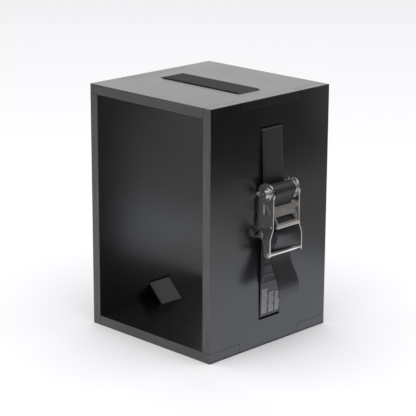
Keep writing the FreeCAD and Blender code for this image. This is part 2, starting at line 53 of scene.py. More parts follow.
# ---- sizes shared with the CAD model, millimetres ----
BOX_HALF = 150.0
BOX_TOP = 450.0
BOARD_T = 18.0
TAB_HALF = 75.0              # half the width of a board's fingers
STRAP_HALF = 25.5
STRAP_T = 2.0
LAY_OFF = 1.1                # board to the middle of the webbing
RECESS_DEPTH = 2.5
SLOT_NEAR = 50.0
SLOT_FAR = 55.5
LIP_R = 2.0
AXIS = (170.0, 287.0)        # mandrel, in X and Z
ROLL_R = 12.0
STRAP_ROUND_ROLL_R = 13.3
MANDREL_SLOT_ANGLE = 95.0
BOLT = (160.4, 210.8)
SLEEVE_R = 5.5
LOOP_FLAP = 92.0
FRAME_PAWL_ANGLE = -105.0
FRAME_SPRING = (40.2, 53.8)  # its ends, from the mandrel axis
DRIVE_TOP = (174.7, 261.0)
DRIVE_ANGLE = -62.0
DRIVE_SPRING = (9.7, 21.8)   # its ends, from the pawl's top edge
DRIVE_SPRING_Y = 29.35
# The free end's two edges, outwards and upwards from the mandrel axis: front edge, then back edge.
TAIL_EDGES = [
    (-7.8, 11.1, -7.8, 11.1), (-1.2, 13.6, -1.2, 13.6),
    (5.6, 12.4, 5.6, 12.4), (10.8, 8.4, 10.8, 8.4),
    (13.4, 2.6, 13.4, 2.6), (13.2, -3.8, 13.2, -3.8), (11.2, -10.0, 11.2, -10.0),
    (8.2, -15.8, 8.2, -15.8), (4.9, -21.2, 4.9, -21.2), (1.9, -26.6, 1.9, -26.6),
    (1.2, -31.5, 1.2, -31.5), (3.2, -37.5, 3.4, -37.3), (7.8, -47.2, 9.2, -46.4),
    (13.2, -56.8, 16.0, -55.2), (18.2, -65.0, 21.6, -63.4), (20.2, -72.0, 24.8, -72.2),
    (18.8, -79.6, 26.5, -80.4), (15.2, -87.4, 27.9, -87.4), (11.2, -95.0, 27.4, -93.6),
    (8.2, -99.8, 19.4, -98.8), (6.2, -103.2, 10.2, -101.5), (5.2, -106.2, 6.4, -103.2),
    (4.3, -109.6, 4.6, -108.2), (4.0, -115.0, 4.2, -114.4), (7.2, -128.0, 6.8, -127.0),
    (12.9, -140.6, 12.4, -138.6), (19.3, -153.0, 19.5, -150.4), (23.8, -165.4, 24.8, -162.0),
    (25.2, -173.4, 26.8, -170.0), (25.0, -179.2, 26.8, -175.2), (24.4, -184.6, 26.6, -180.2),
]

# ---- camera, at the photograph's viewing angle, in metres ----
AZIMUTH = math.radians(44.6173)
ELEVATION = math.radians(16.0869)
ROLL = math.radians(0.24382)
DISTANCE = 2.98454
AIM = Vector((0.0, 0.0, 0.225))
FRAMING = (-0.00233555, -0.00439762)  # camera's move to its right and up
FOCAL_LENGTH = 142.64
SENSOR_WIDTH = 36.0
back = Vector((
    math.sin(AZIMUTH) * math.cos(ELEVATION),
    -math.cos(AZIMUTH) * math.cos(ELEVATION),
    math.sin(ELEVATION),
))
level = (-back).cross(Vector((0, 0, 1))).normalized()
upright = level.cross(-back).normalized()
right = level * math.cos(ROLL) + upright * math.sin(ROLL)
up = upright * math.cos(ROLL) - level * math.sin(ROLL)
camera_data = bpy.data.cameras.new("camera")
camera_data.lens = FOCAL_LENGTH
camera_data.sensor_width = SENSOR_WIDTH
camera = bpy.data.objects.new("camera", camera_data)
scene.collection.objects.link(camera)
place = AIM + back * DISTANCE + right * FRAMING[0] + up * FRAMING[1]
camera.matrix_world = Matrix((
    (right.x, up.x, back.x, place.x),
    (right.y, up.y, back.y, place.y),
    (right.z, up.z, back.z, place.z),
    (0, 0, 0, 1),
))
scene.camera = camera


# ---------------------------------------------------------------- material helpers
class Nodes:
    """Short way to write a node tree: every method returns an output socket."""

    def __init__(self, name):
        self.material = bpy.data.materials.new(name)
        self.material.use_nodes = True
        self.tree = self.material.node_tree
        self.shader = self.tree.nodes["Principled BSDF"]

    def add(self, kind, inputs=(), **settings):
        node = self.tree.nodes.new(kind)
        for key, value in settings.items():
            setattr(node, key, value)
        for key, value in dict(inputs).items():
            self.feed(node.inputs[key], value)
        return node

    def feed(self, socket, value):
        if isinstance(value, bpy.types.NodeSocket):
            self.tree.links.new(value, socket)
        else:
            socket.default_value = value

    def shade(self, **inputs):
        for key, value in inputs.items():
            self.feed(self.shader.inputs[key.replace("_", " ")], value)
        return self.material

    def math(self, operation, first, second=0.0, third=0.0):
        inputs = {0: first, 1: second, 2: third}
        return self.add("ShaderNodeMath", inputs, operation=operation).outputs[0]

    def place(self, scale=(1, 1, 1)):
        coordinates = self.add("ShaderNodeTexCoord").outputs["Object"]
        return self.add("ShaderNodeMapping", {"Vector": coordinates, "Scale": scale}).outputs[0]

    def noise(self, vector, scale, detail=3.0, roughness=0.5):
        inputs = {"Vector": vector, "Scale": scale, "Detail": detail, "Roughness": roughness}
        return self.add("ShaderNodeTexNoise", inputs).outputs["Fac"]

    def fit(self, value, low, high, to_low, to_high):
        inputs = {"Value": value, 1: low, 2: high, 3: to_low, 4: to_high}
        return self.add("ShaderNodeMapRange", inputs).outputs[0]

    def blend(self, share, first, second):
        node = self.add("ShaderNodeMix", data_type="RGBA")
        self.feed(node.inputs[0], share)
        self.feed(node.inputs[6], first)
        self.feed(node.inputs[7], second)
        return node.outputs[2]

    def bump(self, height, distance, strength=1.0, under=None):
        inputs = {"Height": height, "Distance": distance, "Strength": strength}
        node = self.add("ShaderNodeBump", inputs)
        if under is not None:
            self.feed(node.inputs["Normal"], under)
        return node.outputs[0]


def rgba(red, green, blue):
    return (red, green, blue, 1.0)


# ---------------------------------------------------------------- materials
FILM_DARK = rgba(0.0042, 0.0041, 0.0048)
FILM_LIGHT = rgba(0.0066, 0.0064, 0.0072)
SAWN_DARK = rgba(0.016, 0.015, 0.015)
SAWN_LIGHT = rgba(0.078, 0.071, 0.067)
SCUFF_COLOUR = rgba(0.06, 0.06, 0.06)
SCUFF_SHARE = 0.045
FINGER_END_SHARE = 0.06      # how much of the sawn look the fingers' ends have
PLY_SCALES = (14, 900)       # along and across the plies


def board_material(name, thin_axis):
    """Film-faced board: satin faces, and sawn edges that show faint ply lines."""
    n = Nodes(name)
    along, across = PLY_SCALES
    position = n.place()
    normal = n.add("ShaderNodeNewGeometry").outputs["True Normal"]
    parts = n.add("ShaderNodeSeparateXYZ", {0: normal}).outputs
    across_edge = n.fit(n.math("ABSOLUTE", parts[1]), 0.35, 0.8, 0.0, 1.0)
    end_part = parts[{"X": 2, "Z": 0}[thin_axis]]
    finger_end = n.fit(n.math("ABSOLUTE", end_part), 0.5, 0.9, 0.0, FINGER_END_SHARE)
    edge = n.math("MAXIMUM", across_edge, finger_end)
    stretched = {"X": (across, along, along), "Z": (along, along, across)}[thin_axis]
    ply = n.noise(n.place(stretched), 1.0, 2.0)
    fibre = n.noise(n.place((700, 700, 700)), 1.0, 3.0)
    film = n.noise(position, 900.0, 2.0)
    broad = n.noise(position, 9.0, 3.0)
    scuff = n.fit(n.noise(position, 70.0, 6.0, 0.75), 0.62, 0.85, 0.0, 1.0)
    face_colour = n.blend(broad, FILM_DARK, FILM_LIGHT)
    edge_mix = n.math("ADD", n.math("MULTIPLY", ply, 0.7), n.math("MULTIPLY", fibre, 0.3))
    edge_colour = n.blend(n.fit(edge_mix, 0.35, 0.68, 0.0, 1.0), SAWN_DARK, SAWN_LIGHT)
    colour = n.blend(edge, face_colour, edge_colour)
    worn = n.blend(n.math("MULTIPLY", scuff, SCUFF_SHARE), colour, SCUFF_COLOUR)
    smooth = n.fit(broad, 0.3, 0.7, 0.24, 0.28)
    face_rough = n.math("ADD", smooth, n.math("MULTIPLY", scuff, 0.12))
    rough = n.math("ADD", face_rough, n.math("MULTIPLY", edge, 0.12))
    faces = n.bump(film, 0.00004, 0.35)
    relief = n.math("MULTIPLY", edge_mix, edge)
    return n.shade(
        Base_Color=worn, Roughness=rough, Specular_IOR_Level=0.5, IOR=1.62,
        Normal=n.bump(relief, 0.0004, 0.7, faces),
    )


RIB_PITCH = 0.0014           # metres, as all of the weave's sizes
YARN_PITCH = 0.0021
SELVEDGE = (0.0226, 0.0230)  # from the middle of the strap to where the selvedge starts
YARN_DARK_AND_HOLLOW_SHADE = rgba(0.0050, 0.0050, 0.0062)
YARN_LIGHT_AND_RIB_TOP_LIGHT = rgba(0.0140, 0.0136, 0.0165)
SELVEDGE_COLOUR = rgba(0.006, 0.006, 0.007)


def webbing_material(name):
    """Woven polyester: lengthwise ribs and slanting yarns. UV is (length, width) in metres."""
    n = Nodes(name)
    uv = n.add("ShaderNodeTexCoord").outputs["UV"]
    parts = n.add("ShaderNodeSeparateXYZ", {0: uv}).outputs
    along, across = parts[0], parts[1]
    rib_phase = n.math("MULTIPLY", across, math.pi / RIB_PITCH)
    rib = n.math("ABSOLUTE", n.math("SINE", rib_phase))
    step = n.math("FLOOR", n.math("DIVIDE", across, RIB_PITCH))
    yarn_phase = n.math("MULTIPLY", along, 2 * math.pi / YARN_PITCH)
    slant = n.math("MULTIPLY_ADD", step, 0.5 * math.pi, yarn_phase)
    yarn = n.math("MULTIPLY_ADD", n.math("SINE", slant), 0.5, 0.5)
    height = n.math("ADD", n.math("MULTIPLY", rib, 0.6), n.math("MULTIPLY", yarn, 0.4))
    border = n.fit(n.math("ABSOLUTE", across), *SELVEDGE, 0.0, 1.0)
    fuzz = n.noise(n.place(), 2500.0, 2.0)
    cloud = n.noise(n.place(), 28.0, 3.0)
    # Rib tops are painted lighter than the hollows between them, as painted shade in the weave;
    # fuzz and cloud add random tone.
    rib_shade_and_fuzz = n.math("ADD", n.math("MULTIPLY", height, 0.7), n.math("MULTIPLY", fuzz, 0.3))
    uneven = n.math("MULTIPLY", rib_shade_and_fuzz, n.fit(cloud, 0.3, 0.7, 0.85, 1.1))
    colour = n.blend(uneven, YARN_DARK_AND_HOLLOW_SHADE, YARN_LIGHT_AND_RIB_TOP_LIGHT)
    colour = n.blend(n.math("MULTIPLY", border, 0.35), colour, SELVEDGE_COLOUR)
    weave = n.bump(height, 0.00020, 0.5)
    grazing = n.add("ShaderNodeLayerWeight", {"Blend": 0.5}).outputs["Facing"]
    woven_rough = n.fit(height, 0.0, 1.0, 0.08, -0.04)
    rough = n.math("ADD", woven_rough, n.fit(grazing, 0.35, 0.72, 0.38, 0.96))
    return n.shade(
        Base_Color=colour, Roughness=rough, Specular_IOR_Level=0.6,
        Normal=n.bump(fuzz, 0.00005, 0.5, weave),
    )


def steel_material(name, low, high, roughness, brush=(40, 40, 900)):
    """Polished or plated sheet steel with fine handling marks."""
    n = Nodes(name)
    grain = n.noise(n.place(brush), 1.0, 4.0, 0.6)
    marks = n.fit(n.noise(n.place((180, 60, 220)), 1.0, 6.0, 0.7), 0.55, 0.8, 0.0, 1.0)
    cloud = n.noise(n.place(), 45.0, 3.0)
    colour = n.blend(cloud, rgba(*low), rgba(*high))
    marked = rgba(low[0] * 0.7, low[1] * 0.68, low[2] * 0.66)
    worn = n.blend(n.math("MULTIPLY", marks, 0.25), colour, marked)
    brushed = n.fit(grain, 0.3, 0.7, roughness * 0.8, roughness * 1.25)
    rough = n.math("ADD", brushed, n.math("MULTIPLY", marks, 0.1))
    waves = n.bump(cloud, 0.0007, 0.25)
    return n.shade(
        Base_Color=worn, Metallic=1.0, Roughness=rough,
        Normal=n.bump(grain, 0.00006, 0.35, waves),
    )


def thread_material(name, colour):
    """Sewing thread, with painted shade between its twisted strands."""
    n = Nodes(name)
    wave = {"Vector": n.place(), "Scale": 900.0, "Distortion": 2.0}
    twist = n.add("ShaderNodeTexWave", wave).outputs["Fac"]
    shaded_strands = n.blend(twist, rgba(*(0.6 * part for part in colour)), rgba(*colour))
    return n.shade(
        Base_Color=shaded_strands, Roughness=0.6, Sheen_Weight=0.2, Normal=n.bump(twist, 0.00008),
    )


def shadow_material(name):
    """Matt black for the painted shade in the gaps between boards."""
    n = Nodes(name)
    depth = n.noise(n.place(), 400.0)
    black = n.blend(depth, rgba(0.0010, 0.0010, 0.0011), rgba(0.0035, 0.0034, 0.0036))
    return n.shade(Base_Color=black, Roughness=0.9, Specular_IOR_Level=0.05)


board_upright = board_material("board_upright", "X")
board_level = board_material("board_level", "Z")
webbing = webbing_material("webbing")
finishes = {
    "bright_steel": steel_material(
        "steel_bright", (0.64, 0.63, 0.62), (0.76, 0.75, 0.73), 0.21),
    "plated_steel": steel_material(
        "steel_plated", (0.62, 0.57, 0.53), (0.74, 0.69, 0.65), 0.38, (900, 30, 30)),
    "spring_steel": steel_material(
        "steel_spring", (0.42, 0.42, 0.43), (0.55, 0.55, 0.55), 0.3),
}
satin_steel = steel_material(
    "steel_satin", (0.66, 0.63, 0.60), (0.80, 0.77, 0.74), 0.36, (40, 900, 40))
thread_grey = thread_material("thread_grey", (0.78, 0.78, 0.81))
thread_dark = thread_material("thread_dark", (0.035, 0.035, 0.040))
joint_shadow = shadow_material("joint_shadow")


# ---------------------------------------------------------------- finish on the CAD nodes
PANEL_EDGE, PANEL_EDGE_STEPS = 0.6, 3    # rounding of the boards' edges, mm
METAL_EDGE, METAL_EDGE_STEPS = 0.28, 2
WELD_DISTANCE = 0.005                    # mm
SHARP_ANGLE = math.radians(35)


def soften(node, edge, segments):
    """Rounds a node's sharp edges and smooths its curved faces with modifiers alone."""
    mesh = node.data
    if "custom_normal" in mesh.attributes:
        mesh.attributes.remove(mesh.attributes["custom_normal"])
    mesh.polygons.foreach_set("use_smooth", [True] * len(mesh.polygons))
    weld = node.modifiers.new("weld", "WELD")
    weld.merge_threshold = WELD_DISTANCE * MM
    bevel = node.modifiers.new("bevel", "BEVEL")
    bevel.width = edge * MM
    bevel.segments = segments
    bevel.limit_method = "ANGLE"
    bevel.angle_limit = SHARP_ANGLE
    bevel.harden_normals = False
    bevel.miter_outer = "MITER_ARC"
    node.modifiers.new("normals", "WEIGHTED_NORMAL")


def paint(obj, material):
    obj.data.materials.clear()
    obj.data.materials.append(material)


PANELS = {
    "panel_top": board_level, "panel_bottom": board_level,
    "panel_left": board_upright, "panel_right": board_upright,
}
REPLACED = ("webbing_strap", "webbing_tail", "webbing_roll", "frame_pawl_spring",
            "drive_pawl_spring_front", "drive_pawl_spring_back")
for name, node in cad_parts.items():
    if name in REPLACED:
        continue
    if name in PANELS:
        paint(node, PANELS[name])
        soften(node, PANEL_EDGE, PANEL_EDGE_STEPS)
        continue
    finish = finishes[node.data.materials[0].name]
    paint(node, satin_steel if name == "grip_rod" else finish)
    soften(node, METAL_EDGE, METAL_EDGE_STEPS)


# ---------------------------------------------------------------- mesh helpers
def new_piece(name, verts, faces, material, body, uvs=None):
    """A smooth mesh from millimetre points, riding on a body."""
    mesh = bpy.data.meshes.new(name)
    mesh.from_pydata([tuple(c * MM for c in v) for v in verts], [], faces)
    if uvs is not None:
        layer = mesh.uv_layers.new(name="weave")
        for corner in mesh.loops:
            layer.data[corner.index].uv = uvs[corner.vertex_index]
    mesh.polygons.foreach_set("use_smooth", [True] * len(mesh.polygons))
    mesh.update()
    piece = bpy.data.objects.new(name, mesh)
    scene.collection.objects.link(piece)
    mesh.materials.append(material)
    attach(piece, body)
    return piece


def ring_faces(rings, count):
    """Side faces between rings of `count` points each, then the cap at either end."""
    faces = []
    for row in range(rings - 1):
        for k in range(count):
            a, b = row * count + k, row * count + (k + 1) % count
            faces.append((a, b, b + count, a + count))
    last = (rings - 1) * count
    return faces + [tuple(range(count))[::-1], tuple(range(last, last + count))]


def turned_round(faces):
    """The same faces, looking the other way."""
    return [face[::-1] for face in faces]


def polar(radius, degrees, centre=AXIS):
    """A point in XZ, by its distance and direction from `centre`."""
    angle = math.radians(degrees)
    return (centre[0] + radius * math.cos(angle), centre[1] + radius * math.sin(angle))


BEND_STEP = 7.5              # degrees
SHORTEST_RUN = 0.05


def taut_path(circles):
    """Centre line of a taut strap round circles (x, z, radius).

    A radius is positive where the circle's centre is on the strap's left.
    """
    headings = []
    for (x1, z1, r1), (x2, z2, r2) in zip(circles, circles[1:]):
        direct = math.atan2(z2 - z1, x2 - x1)
        headings.append(direct - math.asin((r2 - r1) / math.hypot(x2 - x1, z2 - z1)))
    path = []
    for index, (x, z, radius) in enumerate(circles):
        arrive = headings[max(index - 1, 0)]
        leave = headings[min(index, len(headings) - 1)]
        turn = (leave - arrive + math.pi) % (2 * math.pi) - math.pi
        if radius * turn < 0:
            turn += math.copysign(2 * math.pi, radius)
        steps = 0
        if radius and abs(turn) > 1e-6:
            steps = max(1, round(abs(math.degrees(turn)) / BEND_STEP))
        for step in range(steps + 1):
            heading = arrive + turn * step / max(steps, 1)
            path.append((x + radius * math.sin(heading), z - radius * math.cos(heading)))
    return path


def divided(path, longest):
    """The same line with no repeated point and no run over `longest`."""
    points = [path[0]]
    for x, z in path[1:]:
        x0, z0 = points[-1]
        run = math.hypot(x - x0, z - z0)
        if run < SHORTEST_RUN:
            continue
        pieces = max(1, math.ceil(run / longest))
        for step in range(1, pieces + 1):
            points.append((x0 + (x - x0) * step / pieces, z0 + (z - z0) * step / pieces))
    return points


def smooth_line(points, steps):
    """A curve through the points (Catmull-Rom)."""
    padded = [points[0]] + list(points) + [points[-1]]
    line = []
    for a, b, c, d in zip(padded, padded[1:], padded[2:], padded[3:]):
        for step in range(steps):
            t = step / steps
            line.append(tuple(
                0.5 * (2 * q + (r - p) * t + (2 * p - 5 * q + 4 * r - s) * t * t
                       + (3 * q - p - 3 * r + s) * t ** 3)
                for p, q, r, s in zip(a, b, c, d)
            ))
    return line + [points[-1]]


SELVEDGE_ROUND = 0.9
SECTION_SPANS = (-1.0, -0.86, -0.5, 0.0, 0.5, 0.86, 1.0)


def web_section(half_width, half_thickness):
    """Outline of the webbing cut across: (across, off the middle), with rounded selvedges."""
    inner = half_width - SELVEDGE_ROUND
    shoulder = half_width - SELVEDGE_ROUND * 0.35
    top = [(inner * s, half_thickness) for s in SECTION_SPANS]
    end = [(shoulder, half_thickness * 0.8), (half_width, half_thickness * 0.3),
           (half_width, -half_thickness * 0.3), (shoulder, -half_thickness * 0.8)]
    bottom = [(inner * s, -half_thickness) for s in reversed(SECTION_SPANS)]
    return top + end + bottom + [(-v, -n) for v, n in end]


def ribbon(front, back=None, thickness=STRAP_T):
    """Webbing whose middle surface runs between two XZ lines, at its front and its back edge.

    Returns its points, faces, UVs and the length of its middle line.
    """
    back = back or front
    section = web_section(STRAP_HALF, thickness / 2)
    verts = []
    uvs = []
    travelled = 0.0
    for index in range(len(front)):
        low, high = max(index - 1, 0), min(index + 1, len(front) - 1)
        if index:
            middle = [
                [(f + b) / 2 for f, b in zip(front[k], back[k])] for k in (index - 1, index)]
            travelled += math.dist(*middle)
        for v, off in section:
            share = (v + STRAP_HALF) / (2 * STRAP_HALF)
            here, before, after = (
                [f + (b - f) * share for f, b in zip(front[k], back[k])]
                for k in (index, low, high))
            heading = math.atan2(after[1] - before[1], after[0] - before[0])
            x = here[0] - math.sin(heading) * off
            z = here[1] + math.cos(heading) * off
            verts.append((x, v, z))
            uvs.append((travelled * MM, v * MM))
    return verts, turned_round(ring_faces(len(front), len(section))), uvs, travelled


# ---------------------------------------------------------------- painted shade lines between the fingers
LINE_HALF_WIDTH = 0.32
LINE_TOP_SHARE = 0.8         # width of the line's flat top against its foot
LINE_PROUD = 0.03
# Each corner's edge (x, z), the way its finger ends face, and the way its other face looks, in XZ.
BOX_CORNERS = (
    (BOX_HALF, BOX_TOP, (1, 0), (0, 1)), (BOX_HALF, 0.0, (0, -1), (1, 0)),
    (-BOX_HALF, 0.0, (-1, 0), (0, -1)), (-BOX_HALF, BOX_TOP, (0, 1), (-1, 0)),
)


def corner_lines():
    """The lines at one corner: two ends as (inward, down, y), and the face that they lie on."""
    depth, side, start = BOARD_T, BOX_HALF, PANEL_EDGE
    lines = [((0, depth, -TAB_HALF), (0, depth, TAB_HALF), "end")]
    for sign in (-1, 1):
        tab, outer = sign * TAB_HALF, sign * side
        lines += [
            ((0, start, tab), (0, depth, tab), "end"),
            ((start, 0, tab), (depth, 0, tab), "face"),
            ((depth, 0, tab), (depth, 0, sign * (side - start)), "face"),
            ((depth, start, outer), (depth, depth, outer), "side"),
        ]
    return lines


def joint_shade_lines():
    """Thin dark lines of painted shade where two boards' fingers meet, at all four corners of the
    box.
    """
    profile = ((-1, -LINE_PROUD), (-LINE_TOP_SHARE, LINE_PROUD),
               (LINE_TOP_SHARE, LINE_PROUD), (1, -LINE_PROUD))
    verts = []
    faces = []
    for x0, z0, out, normal in BOX_CORNERS:
        for *ends, surface in corner_lines():
            first, last = (
                Vector((x0 - out[0] * inward - normal[0] * down, y,
                        z0 - out[1] * inward - normal[1] * down))
                for inward, down, y in ends)
            away = {
                "end": Vector((out[0], 0, out[1])),
                "face": Vector((normal[0], 0, normal[1])),
                "side": Vector((0, math.copysign(1, ends[0][2]), 0)),
            }[surface]
            across = (last - first).normalized().cross(away) * LINE_HALF_WIDTH
            base = len(verts)
            for point in (first, last):
                verts += [tuple(point + across * share + away * rise) for share, rise in profile]
            faces += [tuple(base + i for i in face) for face in ring_faces(2, len(profile))]
    return verts, faces


# Dark strips that paint the shade in the seams between the boards.
verts, faces = joint_shade_lines()
new_piece("joint_shade_lines", verts, faces, joint_shadow, "box")


# ---------------------------------------------------------------- strap
def strap_corner(side, top):
    """The webbing from one outer face to the next across an inside corner of the box."""
    drop = 0.0 if top else RECESS_DEPTH
    rise = 1 if top else -1
    face = BOX_TOP if top else 0.0
    near = SLOT_FAR + LIP_R
    far = SLOT_NEAR - LIP_R
    inner = BOARD_T - LIP_R
    bend = LIP_R + LAY_OFF
    stations = [
        (BOX_HALF - near - LIP_R, drop - LAY_OFF, 0), (BOX_HALF - near, drop + LIP_R, -bend),
        (BOX_HALF - far, inner, bend), (BOX_HALF - inner, far, bend),
        (BOX_HALF - LIP_R, near, -bend), (BOX_HALF + LAY_OFF, near + LIP_R, 0),
    ]
    return taut_path([(side * a, face - rise * d, side * rise * r) for a, d, r in stations])


WRAP_END = 236.0             # degrees round the mandrel where the strap's upper end stops
WRAP_STEPS = 10
HITCH_SHARE = 0.85           # where the strap starts to swing out to the bolt, of its way there
FLAP_OUT = 2.1               # the sewn flap's middle, out from the strap's
FLAP_START = 10.0            # below the hitch
LONGEST_RUN = 14.0

side_x = BOX_HALF + LAY_OFF
low_z = SLOT_FAR + 2 * LIP_R
roll_touch = taut_path([(side_x, BOX_TOP - low_z, 0), (*AXIS, STRAP_ROUND_ROLL_R)])[-1]
touch_angle = math.degrees(math.atan2(roll_touch[1] - AXIS[1], roll_touch[0] - AXIS[0])) % 360
wrap = [
    polar(STRAP_ROUND_ROLL_R, WRAP_END + (touch_angle - WRAP_END) * k / WRAP_STEPS)
    for k in range(WRAP_STEPS + 1)
]
bolt_circle = (*BOLT, -(SLEEVE_R + LAY_OFF))
bolt_touch = taut_path([(side_x, low_z, 0), bolt_circle])[1]
hitch = tuple(a + (b - a) * HITCH_SHARE for a, b in zip((side_x, low_z), bolt_touch))
slope = (hitch[0] - side_x) / (hitch[1] - low_z)
flap = [
    (side_x + (z - low_z) * slope + FLAP_OUT, z, 0)
    for z in (hitch[1] - FLAP_START, BOLT[1] - LOOP_FLAP)
]
strap_line = divided(
    wrap + strap_corner(1, True)[::-1] + strap_corner(-1, True) + strap_corner(-1, False)[::-1]
    + strap_corner(1, False) + taut_path([(*hitch, 0), bolt_circle] + flap), LONGEST_RUN)
verts, faces, uvs, strap_length = ribbon(strap_line)
strap = new_piece("strap_webbing", verts, faces, webbing, "box", uvs)
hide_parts("webbing_strap")


# ---------------------------------------------------------------- free end
TAIL_STEPS = 5               # points for each row of TAIL_EDGES

tail_edges = [
    smooth_line([(AXIS[0] + row[k], AXIS[1] + row[k + 1]) for row in TAIL_EDGES], TAIL_STEPS)
    for k in (0, 2)
]
verts, faces, uvs, tail_length = ribbon(*tail_edges)
tail = new_piece("strap_tail", verts, faces, webbing, "box", uvs)
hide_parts("webbing_tail")


# ---------------------------------------------------------------- webbing wound on the mandrel
WIND_T = 1.8
WIND_IN_R = 9.15
WIND_OUT_R = ROLL_R - WIND_T / 2 - 0.1
WIND_START, WIND_SWEEP = 14.0, 176.0     # degrees, from the mandrel's slot
WIND_STEPS = 12
WIND_GROWTH = 0.9
SLOT_R = 4.5

wound = []
for slot_end in (MANDREL_SLOT_ANGLE, MANDREL_SLOT_ANGLE + 180):
    turn_points = []
    for k in range(WIND_STEPS + 1):
        share = k / WIND_STEPS
        radius = WIND_IN_R + (WIND_OUT_R - WIND_IN_R) * share ** WIND_GROWTH
        turn_points.append(polar(radius, slot_end + WIND_START + share * WIND_SWEEP))
    wound.append(turn_points)
through = [polar(SLOT_R, MANDREL_SLOT_ANGLE), AXIS, polar(SLOT_R, MANDREL_SLOT_ANGLE + 180)]
roll_line = smooth_line(wound[0][::-1] + through + wound[1], 3)
verts, faces, uvs, _ = ribbon(roll_line, thickness=WIND_T)
roll = new_piece("strap_roll", verts, faces, webbing, "mandrel", uvs)
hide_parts("webbing_roll")


# ---------------------------------------------------------------- springs
def tube(centres, radius, sides=8):
    """A round wire or thread along a line of centres."""
    verts = []
    for index, centre in enumerate(centres):
        after, before = centres[min(index + 1, len(centres) - 1)], centres[max(index - 1, 0)]
        heading = (after - before).normalized()
        across = heading.cross(Vector((0, 1, 0)))
        if across.length <= 0.05:
            across = heading.cross(Vector((1, 0, 0)))
        across = across.normalized()
        other = heading.cross(across)
        for k in range(sides):
            angle = 2 * math.pi * k / sides
            spoke = across * (radius * math.cos(angle)) + other * (radius * math.sin(angle))
            verts.append(tuple(centre + spoke))
    return verts, ring_faces(len(centres), sides)


WIRE_R = 0.45
LIVE_TURNS = 4.5
DEAD_TURNS = 0.75            # closed turns at each end
CLOSED_PITCH = 2.1           # of those turns, in wire radii
COIL_STEPS = 20              # points in a turn
DRIVE_COIL_R = 1.7
FRAME_COIL_R = 2.6


def coil(start, degrees, y, length, coil_r):
    """Compression spring with closed ends, running from `start` in the XZ plane."""
    angle = math.radians(degrees)
    along = Vector((math.cos(angle), 0, math.sin(angle)))
    side = Vector((-math.sin(angle), 0, math.cos(angle)))
    lift = Vector((0, 1, 0))
    centres = []
    total = LIVE_TURNS + 2 * DEAD_TURNS
    run = length - 2 * WIRE_R
    closed = DEAD_TURNS * WIRE_R * CLOSED_PITCH
    for k in range(int(total * COIL_STEPS) + 1):
        turn = k / COIL_STEPS
        if turn < DEAD_TURNS:
            rise = closed * turn / DEAD_TURNS
        elif turn > total - DEAD_TURNS:
            rise = run - closed * (total - turn) / DEAD_TURNS
        else:
            rise = closed + (run - 2 * closed) * (turn - DEAD_TURNS) / LIVE_TURNS
        a = 2 * math.pi * turn
        centre = Vector((start[0], y, start[1])) + along * (WIRE_R + rise)
        centres.append(centre + side * (coil_r * math.cos(a)) + lift * (coil_r * math.sin(a)))
    return tube(centres, WIRE_R)


def spring_piece(name, body, node, ends, degrees, centre, y, coil_r):
    """A coil in place of a CAD spring, between its two given ends."""
    first, last = ends
    verts, faces = coil(polar(first, degrees, centre), degrees, y, last - first, coil_r)
    spring = new_piece(name, verts, faces, finishes["spring_steel"], body)
    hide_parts(node)
    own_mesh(spring)


for label, y in (("front", -DRIVE_SPRING_Y), ("back", DRIVE_SPRING_Y)):
    spring_piece("drive_spring_" + label, "handle", "drive_pawl_spring_" + label,
                 DRIVE_SPRING, DRIVE_ANGLE, DRIVE_TOP, y,
                 DRIVE_COIL_R)
spring_piece("frame_spring", "box", "frame_pawl_spring",
             FRAME_SPRING, FRAME_PAWL_ANGLE, AXIS, 0.0, FRAME_COIL_R)


# ---------------------------------------------------------------- stitching
STITCH_ARC = ((0, -0.3), (0.12, 0.1), (0.5, 0.22), (0.88, 0.1), (1, -0.3))  # share, rise


def stitches(name, rows, material, lay, radius):
    """Raised stitches, each given by its two ends (across, z), laid on the webbing by `lay`."""
    verts = []
    faces = []
    for (v1, z1), (v2, z2) in rows:
        line = [
            Vector(lay(v1 + (v2 - v1) * t, z1 + (z2 - z1) * t, rise)) for t, rise in STITCH_ARC]
        bead_verts, bead_faces = tube(line, radius, 6)
        base = len(verts)
        verts += bead_verts
        faces += [tuple(i + base for i in face) for face in bead_faces]
    new_piece(name, verts, faces, material, "box")


def on_lower_run(across, z, rise):
    """A point on the outer side of the strap below the ratchet."""
    x = side_x + max(0.0, z - low_z) * slope + STRAP_T / 2
    return (x + rise, across, z)


def on_flap(across, z, rise):
    """A point on the outer side of the sewn flap over that run."""
    x, _, _ = on_lower_run(across, z, rise)
    return (x + FLAP_OUT, across, z)


LABEL_COLUMNS = ((-22.0, -8.0, 107.0), (-4.0, 8.0, 99.0), (12.0, 23.0, 95.0))  # left, right, top
LABEL_FOOT = 61.5
LABEL_ROW_PITCH = 2.9
LABEL_STITCHES = (1.0, 0.55, 0.8, 0.4, 0.95, 0.7)    # lengths, as shares of the longest
LONGEST_STITCH = 3.2
STITCH_GAP = 1.2
STITCH_SLANT = 0.9
LABEL_THREAD_R = 0.5
TACK_FEET = (123.5, 133.0, 150.0, 160.0)             # zigzag bars over the flap
TACK_HEIGHT = 4.5
TACK_STEP = 2.0
TACK_COUNT = 22
TACK_THREAD_R = 0.28

label_rows = []
for column, (left, right_end, top) in enumerate(LABEL_COLUMNS):
    z = LABEL_FOOT
    first = column
    while z < top:
        v = left
        k = first
        while v < right_end - STITCH_GAP:
            length = LONGEST_STITCH * LABEL_STITCHES[k % len(LABEL_STITCHES)]
            label_rows.append(((v, z), (min(v + length, right_end), z + STITCH_SLANT)))
            v += length + STITCH_GAP
            k += 1
        z += LABEL_ROW_PITCH
        first += 1
stitches("strap_stitching", label_rows, thread_grey, on_lower_run, LABEL_THREAD_R)

tack_rows = []
for foot in TACK_FEET:
    for k in range(TACK_COUNT):
        v = -TACK_COUNT / 2 * TACK_STEP + k * TACK_STEP
        rise = (0.0, TACK_HEIGHT) if k % 2 else (TACK_HEIGHT, 0.0)
        tack_rows.append(((v, foot + rise[0]), (v + TACK_STEP, foot + rise[1])))
stitches("flap_stitching", tack_rows, thread_dark, on_flap, TACK_THREAD_R)


